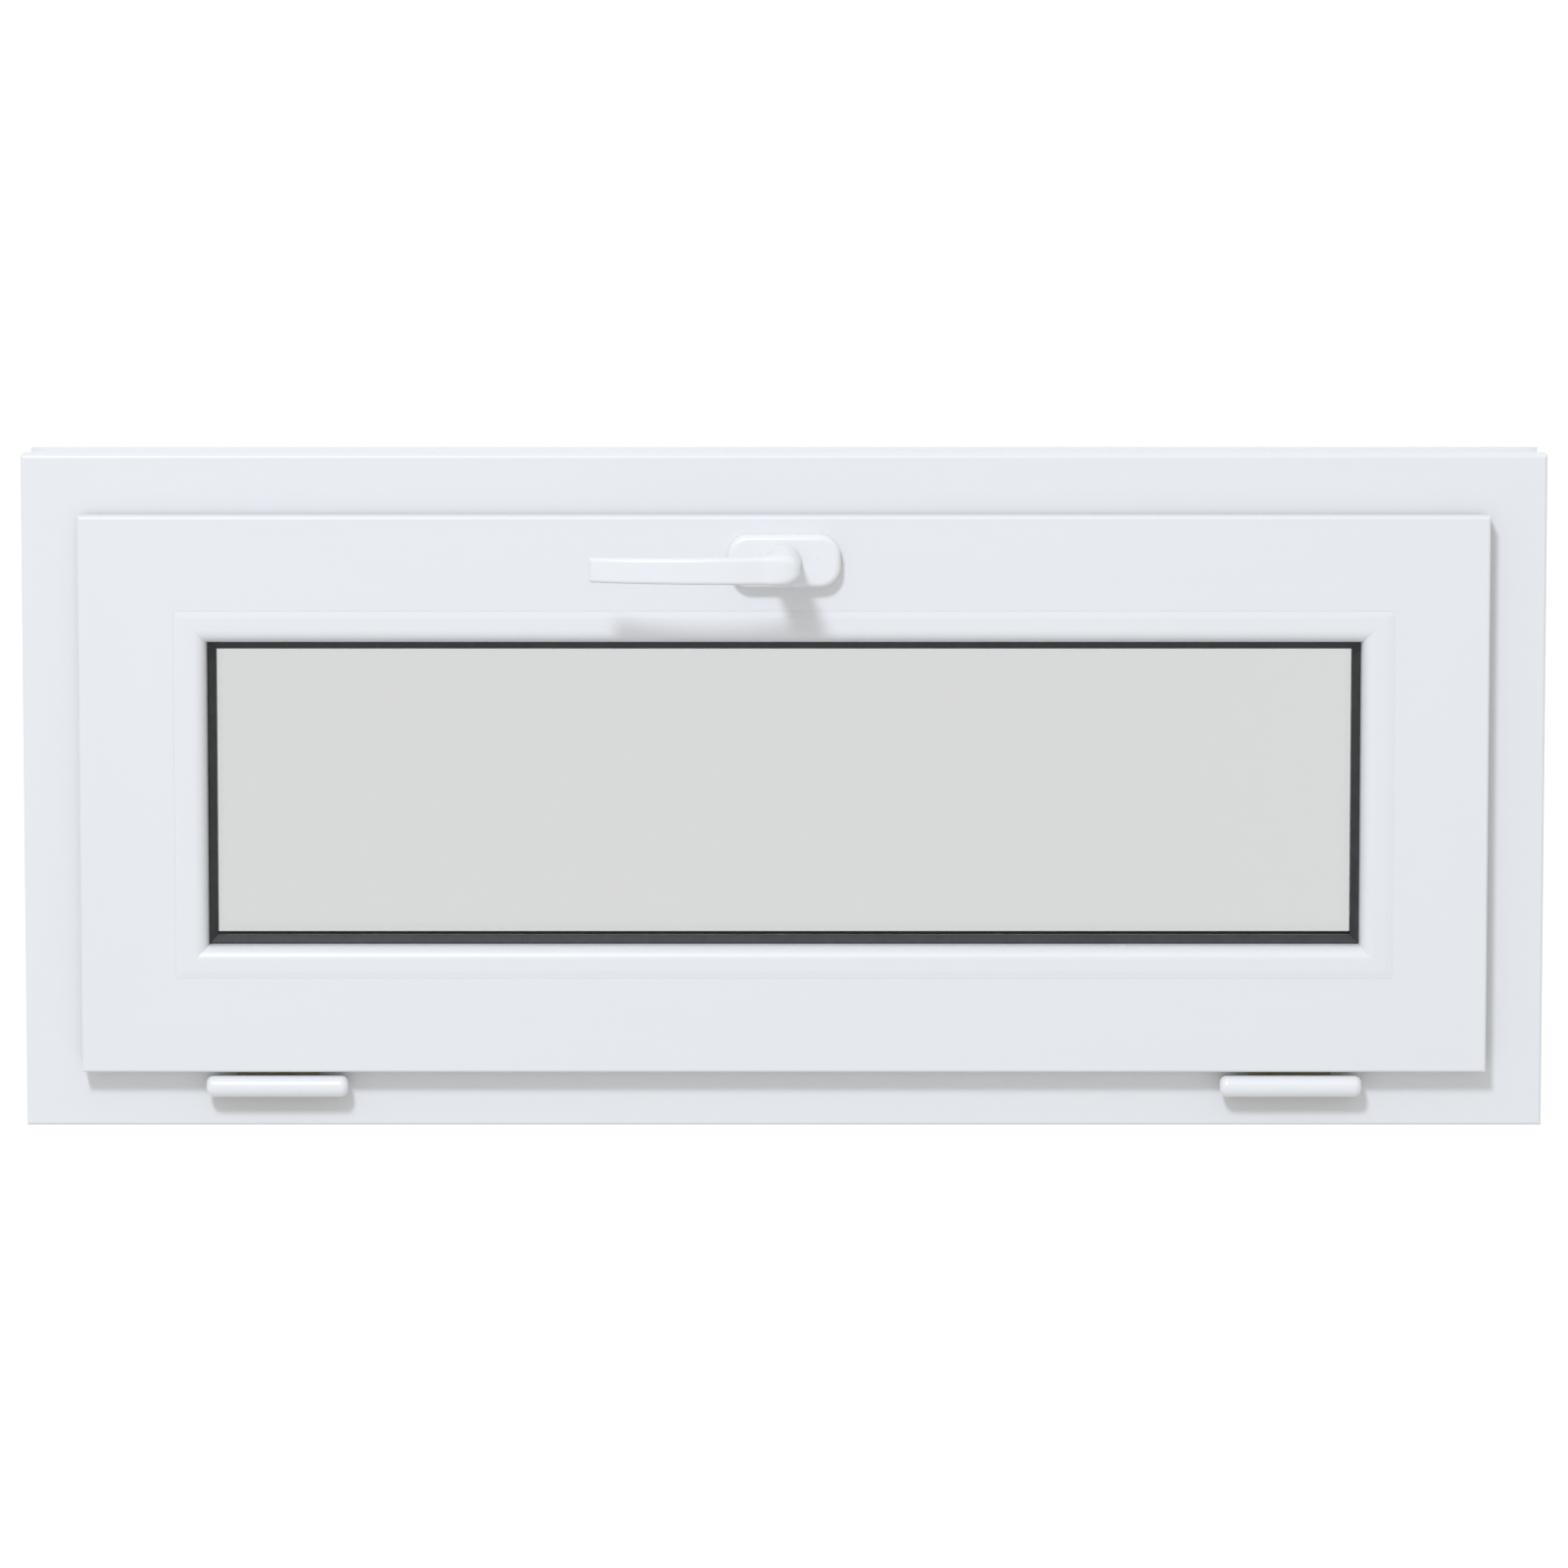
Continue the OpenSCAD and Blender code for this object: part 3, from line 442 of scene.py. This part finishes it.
class Ring:
    """A rectangle in the window's plane. Profiles give (inward from its edge, Y) in millimetres."""

    def __init__(self, bottom_node, top_node):
        low, high = box_mm(bottom_node)[0], box_mm(top_node)[1]
        self.half_w = high.x
        self.half_h = (high.z - low.z) / 2
        self.middle = (high.z + low.z) / 2

    def at(self, x_sign, z_sign, point):
        return (
            x_sign * (self.half_w - point.real),
            point.imag,
            self.middle + z_sign * (self.half_h - point.real),
        )

    def bar(self, name, side, outline, chambers, material):
        """One side of the ring, with mitred ends and hollow chambers."""
        loops = [outline, *chambers]
        points = [p for loop in loops for p in loop]
        out_x, out_z = OUTWARD[side]
        vertices = [
            self.at(out_x or end, out_z or end, p) for end in (-1, 1) for p in points
        ]
        flat = [[Vector((p.real, p.imag, 0)) for p in loop] for loop in loops]
        caps = tessellate_polygon(flat)
        count = len(points)
        faces = list(caps) + [tuple(count + i for i in cap) for cap in caps]
        first = 0
        for loop in loops:
            faces += quads_between(first, count + first, len(loop))
            first += len(loop)
        return new_piece(name, vertices, faces, material)

    def band(self, name, outline, material):
        """The whole ring in one piece, with mitred corners."""
        corners = ((-1, -1), (1, -1), (1, 1), (-1, 1))
        vertices = [self.at(*corner, p) for corner in corners for p in outline]
        count = len(outline)
        faces = []
        for k in range(4):
            faces += quads_between(k * count, (k + 1) % 4 * count, count)
        return new_piece(name, vertices, faces, material)


FRAME_RING = Ring("frame_sill", "frame_head")
SASH_RING = Ring("sash_bottom_rail", "sash_top_rail")

FRAME_OUTLINE = rounded([
    (0, 0, 2.2), (41, 0, 1.2), (41, 46, 0.4), (62, 46, 1.2), (62, 56, 1.0), (58, 60, 1.0),
    (0, 60, 0.8), (0, 56, 0.3), (5, 56, 0.3), (5, 20, 0.3), (0, 20, 0.3),
])
FRAME_CHAMBERS = [rectangle(3, 3, 38, 11.5), rectangle(8, 14.5, 36, 41), rectangle(8, 49, 59, 57)]
SASH_OUTLINE = rounded([
    (0, -18, 1.8), (56, -18, 0.25), (56, -15.2, 0), (53, -15.2, 0), (53, -11.8, 0), (56, -11.8, 0),
    (56, 28, 0.4), (76, 28, 0.5), (76, 38, 1.0), (72, 42, 1.0), (18, 42, 0.8), (18, 15.5, 0.3),
    (27, 15.5, 0.3), (27, 3.5, 0.3), (18, 3.5, 0.3), (18, -3.5, 0.4), (0, -3.5, 0.6),
])
SASH_CHAMBERS = [rectangle(3, -15, 50, -6.5), rectangle(30, -3, 52.5, 28), rectangle(21, 31, 71.5, 39)]
BEAD_OUTLINE = rounded([
    (56, -18, 0), (60, -18.6, 6), (74.75, -18.6, 7.9), (74.75, -3, 0.3), (56, -3, 0),
    (56, -12.1, 0), (53.4, -12.1, 0), (53.4, -14.9, 0), (56, -14.9, 0),
])
INNER_GASKET_OUTLINE = rounded([
    (66, -3, 0), (74.75, -3, 0), (74.75, -4.9, 0.2), (75.9, -4.9, 0.9), (79.75, -2.2, 0.9),
    (79.75, 1, 0), (66, 1, 0),
])
OUTER_GASKET_OUTLINE = rounded([
    (66, 25, 0), (78, 25, 0), (78, 26.6, 0.8), (76.6, 29.4, 0.6), (76, 29.4, 0), (76, 28, 0), (66, 28, 0),
])

FRAME_BARS = {
    "bottom": "frame_sill",
    "top": "frame_head",
    "left": "frame_jamb_left",
    "right": "frame_jamb_right",
}
SASH_BARS = {
    "bottom": "sash_bottom_rail",
    "top": "sash_top_rail",
    "left": "sash_stile_left",
    "right": "sash_stile_right",
}
FIXING_Y = 28
FIXING_RADIUS = 3.75
FIXING_DEPTH = 45  # from the outer face, through the whole bar
JAMB_FIXING_HEIGHTS = (100, 300)
HEAD_FIXING_PLACES = (-200, 200)
DRAIN_WIDTH = 28
DRAIN_HEIGHT = 5
# distance from the middle, start and end in Y, and lower edge of the inner and the outer drains
DRAINS = ((180, 44, 51, 41), (250, 56, 61, 9))


def plastic_for(side):
    return PLASTIC_ACROSS if side in ("bottom", "top") else PLASTIC_UPRIGHT


def frame_cutters(side, corner):
    """The wall fixing holes or drains of one frame bar, from the frame's upper right corner."""
    past = 2
    if side == "top":
        return [
            rod((x, FIXING_Y, corner.z - FIXING_DEPTH), (x, FIXING_Y, corner.z + past), FIXING_RADIUS)
            for x in HEAD_FIXING_PLACES
        ]
    if side == "bottom":
        return [
            block(
                (sign * from_middle - DRAIN_WIDTH / 2, start_y, low_z),
                (sign * from_middle + DRAIN_WIDTH / 2, end_y, low_z + DRAIN_HEIGHT),
            )
            for sign in (-1, 1)
            for from_middle, start_y, end_y, low_z in DRAINS
        ]
    sign = OUTWARD[side][0]
    return [
        rod(
            (sign * (corner.x - FIXING_DEPTH), FIXING_Y, z),
            (sign * (corner.x + past), FIXING_Y, z),
            FIXING_RADIUS,
        )
        for z in JAMB_FIXING_HEIGHTS
    ]


def make_frame_bars():
    corner = box_mm("frame_head")[1]
    for side, node in FRAME_BARS.items():
        bar = FRAME_RING.bar(node + "_bar", side, FRAME_OUTLINE, FRAME_CHAMBERS, plastic_for(side))
        cut(bar, frame_cutters(side, corner))
        finish_piece(bar, "frame", node)


def gearbox_pocket():
    """Cutters for the gearbox's pocket and the handle's round hole in the top rail."""
    housing_lo, housing_hi = box_mm("gearbox_housing")
    cover_back = box_mm("gearbox_cover")[1].y
    lever_lo, lever_hi = box_mm("handle_lever")
    handle_z = (lever_lo.z + lever_hi.z) / 2
    gap, past = 0.2, 1
    hole_front, hole_back, hole_radius = -20, 5, 9
    return [
        block(
            (housing_lo.x - gap, housing_lo.y - gap, housing_lo.z - gap),
            (housing_hi.x + gap, cover_back + gap, housing_hi.z + past),
        ),
        rod((0, hole_front, handle_z), (0, hole_back, handle_z), hole_radius),
    ]


def make_sash_bars():
    for side, node in SASH_BARS.items():
        material = plastic_for(side)
        bar = SASH_RING.bar(node + "_bar", side, SASH_OUTLINE, SASH_CHAMBERS, material)
        if side == "top":
            cut(bar, gearbox_pocket())
        finish_piece(bar, "sash", node)
        bead_node = "bead_" + side
        bead = SASH_RING.bar(bead_node + "_bar", side, BEAD_OUTLINE, [], material)
        finish_piece(bead, "sash", bead_node)


def make_glass_gaskets():
    for name, outline in (
        ("glass_gasket_inner", INNER_GASKET_OUTLINE), ("glass_gasket_outer", OUTER_GASKET_OUTLINE),
    ):
        gasket = SASH_RING.band(name + "_lip", outline, SEAL_RUBBER)
        finish_piece(gasket, "sash", name)


# ---------------------------------------------------------------- handle and hinge caps

CORNER_STEPS = 8


def rounded_section(half_a, half_b, radius):
    """Points (a, b) of a rounded rectangle around the origin, the same number for every size."""
    points = []
    for k in range(4):
        sign_a, sign_b = ((1, 1), (-1, 1), (-1, -1), (1, -1))[k]
        for i in range(CORNER_STEPS + 1):
            angle = math.pi / 2 * (k + i / CORNER_STEPS)
            points.append((
                sign_a * (half_a - radius) + radius * math.cos(angle),
                sign_b * (half_b - radius) + radius * math.sin(angle),
            ))
    return points


def smoothstep(t):
    t = min(max(t, 0), 1)
    return t * t * (3 - 2 * t)


def mixed(a, b, t):
    return a + (b - a) * t


def make_rosette():
    low, high = box_mm("handle_rosette")
    mid_z = (low.z + high.z) / 2
    half_l, half_h = high.x, (high.z - low.z) / 2
    corner, edge, back_edge, skin = 12.5, 3.5, 0.3, 2.0
    hub_hole = 8.35
    past = 1

    def slab(inset, y):
        return [
            (x, y, mid_z + z)
            for x, z in rounded_section(half_l - inset, half_h - inset, corner - inset)
        ]

    steps = 7
    rings = [slab(back_edge, high.y), slab(0, high.y - back_edge)]
    for k in range(steps + 1):
        angle = math.pi / 2 * k / steps
        rings.append(slab(edge * (1 - math.cos(angle)), low.y + edge * (1 - math.sin(angle))))
    rosette = loft("handle_rosette_cover", rings, POWDER_COAT)
    cavity = loft("cutter", [slab(skin, high.y + past), slab(skin, low.y + edge)], POWDER_COAT)
    cut(rosette, [cavity, rod((0, low.y - past, mid_z), (0, high.y + 2 * past, mid_z), hub_hole)])
    finish_piece(rosette, "sash", "handle_rosette")


def make_lever():
    """Shank, round neck, a tight bend and a bowed grip, in one skin."""
    low, high = box_mm("handle_lever")
    rosette_front = box_mm("handle_rosette")[0].y
    mid_z = (low.z + high.z) / 2
    shank, shank_edge, neck = 8.0, 0.4, 9.7
    neck_top = neck - 0.2
    collar, collar_edge = high.x - 0.3, 0.5
    collar_y = rosette_front - 0.35
    bend_start_y = collar_y - 16
    bow_radius, bow_x = 221.5, -50
    grip_h, tip_h = 8.0, 7.2
    grip_t, tip_t = 11.0, 8.5
    grip_edge, tip_edge, least_edge = 2.6, 2.3, 0.1
    tip_round, tip_fill = 2.2, 0.98  # the very end keeps a small flat
    inner_radius = 1.5
    pivot_x = -high.x - inner_radius

    def front(x):
        return low.y + bow_radius - math.sqrt(bow_radius**2 - (x - bow_x) ** 2)

    def ring(centre, direction, half_a, half_b, radius):
        """A section in the plane of direction and Z around a centre in the XY plane."""
        return [
            (centre[0] + a * direction[0], centre[1] + a * direction[1], mid_z + b)
            for a, b in rounded_section(half_a, half_b, radius)
        ]

    rings = []
    for y, radius in (
        (high.y, shank - shank_edge), (high.y - shank_edge, shank), (collar_y + 0.01, shank),
        (collar_y, collar - collar_edge), (collar_y - collar_edge, collar), (collar_y - 2.5, collar),
        (collar_y - 3.5, neck + 0.3), (collar_y - 5, neck), (bend_start_y, neck_top),
    ):
        rings.append(ring((0, y), (1, 0), radius, radius, radius))

    pivot_y = front(pivot_x) + grip_t + inner_radius
    reach_front = pivot_y - front(pivot_x)
    bend_power, edge_rate = 3.6, 1.1
    bend_steps = 14
    for k in range(bend_steps + 1):
        t = k / bend_steps
        angle = math.pi / 2 * t
        direction = (math.cos(angle), -math.sin(angle))
        reach_right = mixed(neck_top, collar, smoothstep(2 * t)) - pivot_x
        inner = mixed(-neck_top - pivot_x, inner_radius, smoothstep(2 * t))
        outer = (
            abs(math.cos(angle) / reach_right) ** bend_power
            + abs(math.sin(angle) / reach_front) ** bend_power
        ) ** (-1 / bend_power)
        half = (outer - inner) / 2
        centre = (
            pivot_x + direction[0] * (inner + half),
            pivot_y + direction[1] * (inner + half),
        )
        half_z = mixed(neck_top, grip_h, smoothstep(t))
        radius = mixed(min(half, half_z), grip_edge, smoothstep(t * edge_rate))
        rings.append(ring(centre, direction, half, half_z, radius))

    grip_steps = 24
    for k in range(1, grip_steps + 1):
        t = k / grip_steps
        x = mixed(pivot_x, low.x + tip_round, t)
        half = mixed(grip_t, tip_t, t) / 2
        edge = mixed(grip_edge, tip_edge, t)
        rings.append(ring((x, front(x) + half), (0, -1), half, mixed(grip_h, tip_h, t), edge))

    tip_steps = 5
    half = tip_t / 2
    for k in range(1, tip_steps + 1):
        angle = math.pi / 2 * k / tip_steps
        inset = tip_round * (1 - math.cos(angle)) * tip_fill
        centre = (low.x + tip_round * (1 - math.sin(angle)), front(low.x) + half)
        edge = max(tip_edge - inset, least_edge)
        rings.append(ring(centre, (0, -1), half - inset, tip_h - inset, edge))

    lever = loft("handle_lever_grip", rings, POWDER_COAT)
    spindle_lo, spindle_hi = box_mm("handle_spindle")
    cut(lever, [block((spindle_lo.x, spindle_lo.y, spindle_lo.z), (spindle_hi.x, 0, spindle_hi.z))])
    finish_piece(lever, "handle", "handle_lever")


def make_hinge_cap(side):
    """A capsule over the knuckles, hollow inside, open behind and slotted above for the sash leaf."""
    node = "hinge_cap_" + side
    low, high = box_mm(node)
    leaf_lo, leaf_hi = box_mm("hinge_sash_leaf_" + side)
    half_l = (high.x - low.x) / 2
    mid_x = (high.x + low.x) / 2
    radius = (high.y - low.y) / 2
    axis_y, axis_z = (high.y + low.y) / 2, (high.z + low.z) / 2
    end_round, wall, end_wall = 4.6, 0.95, 3.2
    inner = half_l - end_wall
    leaf_gap, leaf_slot_low, leaf_slot_high = 0.3, 2.8, 5.4
    open_gap, past = 0.3, 15
    pole = 0.001  # a ring of the loft can't shrink to a point
    outline = rounded([
        (-half_l, pole, 0), (-half_l, radius, end_round), (half_l, radius, end_round), (half_l, pole, 0),
    ])
    segments = 72
    rings = [
        [
            (
                mid_x + p.real,
                axis_y + p.imag * math.cos(2 * math.pi * k / segments),
                axis_z + p.imag * math.sin(2 * math.pi * k / segments),
            )
            for k in range(segments)
        ]
        for p in outline
    ]
    cap = loft(node + "_shell", rings, POWDER_COAT)
    cut(cap, [
        rod((mid_x - inner, axis_y, axis_z), (mid_x + inner, axis_y, axis_z), radius - wall),
        block(
            (mid_x - inner, axis_y - open_gap, axis_z - past),
            (mid_x + inner, axis_y + past, axis_z - open_gap),
        ),
        block(
            (leaf_lo.x - leaf_gap, axis_y, axis_z + leaf_slot_low),
            (leaf_hi.x + leaf_gap, axis_y + past, axis_z + leaf_slot_high),
        ),
        block(
            (leaf_lo.x - leaf_gap, axis_y + radius / 2, axis_z),
            (leaf_hi.x + leaf_gap, axis_y + past, axis_z + past),
        ),
    ])
    finish_piece(cap, "sash", node)


# ---------------------------------------------------------------- CAD nodes that stay

KEPT = {
    "drain_caps": PLASTIC_ACROSS,
    "frame_gasket": SEAL_RUBBER,
    "sash_gasket": SEAL_RUBBER,
    "pane_inner": CLEAR_GLASS,
    "pane_outer": CLEAR_GLASS,
    "glass_spacer": SPACER_METAL,
    "glass_edge_seal": EDGE_SEALANT,
    "setting_blocks": BLOCK_PLASTIC,
    "frame_steels": GALVANISED,
    "sash_steels": GALVANISED,
    "gearbox_housing": BRIGHT_STEEL_ACROSS,
    "gearbox_cover": BRIGHT_STEEL_ACROSS,
    "lock_faceplate": BRIGHT_STEEL_ACROSS,
    "drive_rod": BRIGHT_STEEL_ACROSS,
    "locking_rollers": BRIGHT_STEEL_UPRIGHT,
    "handle_spindle": BRIGHT_STEEL_UPRIGHT,
    "handle_pinion": BRIGHT_STEEL_UPRIGHT,
    "handle_base_plate": BRIGHT_STEEL_ACROSS,
    "handle_screws": ZINC,
    "keeper_screws": ZINC,
    "hinge_frame_screws": ZINC,
    "hinge_sash_screws": ZINC,
    "stay_bracket_screws": ZINC,
    "stay_guide_screws": ZINC,
    "faceplate_screws": ZINC,
}
for one_side in ("left", "right"):
    KEPT["keeper_" + one_side] = BRIGHT_STEEL_ACROSS
    KEPT["hinge_pin_" + one_side] = BRIGHT_STEEL_ACROSS
    KEPT["hinge_frame_leaf_" + one_side] = ZINC
    KEPT["hinge_sash_leaf_" + one_side] = ZINC
    KEPT["stay_bracket_" + one_side] = BRIGHT_STEEL_UPRIGHT
    KEPT["stay_guide_" + one_side] = BRIGHT_STEEL_UPRIGHT
    KEPT["stay_arm_" + one_side] = BRIGHT_STEEL_UPRIGHT


def dress_kept_nodes():
    """Materials and small edge rounds for the nodes whose CAD shape is the real shape."""
    edge_width, same_point = 0.18 * MM, 0.005 * MM
    crease = math.radians(40)
    for name, material in KEPT.items():
        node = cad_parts[name]
        node.data.materials.clear()
        node.data.materials.append(material)
        if name.startswith("pane") or name.endswith("steels"):
            continue
        weld = node.modifiers.new("weld", "WELD")
        weld.merge_threshold = same_point
        bevel = node.modifiers.new("edges", "BEVEL")
        bevel.width = edge_width
        bevel.segments = 2
        bevel.limit_method = "ANGLE"
        bevel.angle_limit = crease
        bevel.harden_normals = True


def make_floor():
    segments = 96
    rim = [
        (
            FLOOR_RADIUS / MM * math.cos(2 * math.pi * k / segments),
            FLOOR_RADIUS / MM * math.sin(2 * math.pi * k / segments),
            FLOOR_Z / MM,
        )
        for k in range(segments)
    ]
    floor = new_piece("floor", rim, [tuple(range(segments))], floor_paint())


bpy.context.scene.view_settings.view_transform = "Standard"
make_camera()
make_key_light()
make_surroundings()
make_floor()
make_frame_bars()
make_sash_bars()
make_glass_gaskets()
make_rosette()
make_lever()
for one_side in ("left", "right"):
    make_hinge_cap(one_side)
dress_kept_nodes()
